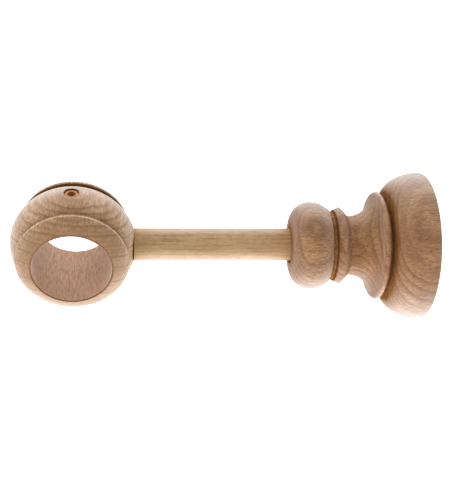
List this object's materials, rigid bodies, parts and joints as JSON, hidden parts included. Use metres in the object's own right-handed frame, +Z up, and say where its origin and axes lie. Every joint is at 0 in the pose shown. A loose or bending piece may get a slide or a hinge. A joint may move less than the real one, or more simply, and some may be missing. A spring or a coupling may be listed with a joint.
{
  "type": "curtain pole bracket",
  "caption": "Turned wooden wall bracket for a curtain pole: round wall rosette, straight stem and closed ball-shaped ring that the pole passes through, with a lock-screw hole on top.",
  "frame": {"origin": "centre of the wall face, on the axis of the rosette", "axes": "+X into the wall, +Z up towards the lock-screw hole, the curtain pole lies along Y; the bracket reaches into the room along -X"},
  "size_m": [0.1529, 0.0552, 0.0552],
  "materials": {
    "beech_head": "raw sanded beech, rings showing across the turned ball",
    "beech_stem": "raw sanded beech dowel, straight grain",
    "beech_rosette": "raw sanded beech, turned, rough end grain in the grooves",
    "zinc_steel": "zinc plated",
    "yellow_zinc": "yellow passivated zinc plate"
  },
  "bodies": {
    "wall_fixing": {"wall_plate": "zinc_steel", "wall_stud": "zinc_steel"},
    "rosette": {"rosette": "beech_rosette", "threaded_insert": "zinc_steel"},
    "arm": {"ring_head": "beech_head", "head_dowel": "beech_stem", "stem": "beech_stem", "stem_washer": "zinc_steel", "stem_screw": "yellow_zinc"}
  },
  "joints": [
    {"name": "bracket_turn", "type": "hinge", "parent": "wall_fixing", "child": "rosette", "pos_m": [0, 0, 0], "axis": [1, 0, 0], "range_deg": [-270, 0]},
    {"name": "stem_turn", "type": "hinge", "parent": "rosette", "child": "arm", "pos_m": [-0.029, 0, 0.0005], "axis": [1, 0, 0], "range_deg": [-180, 180]}
  ]
}
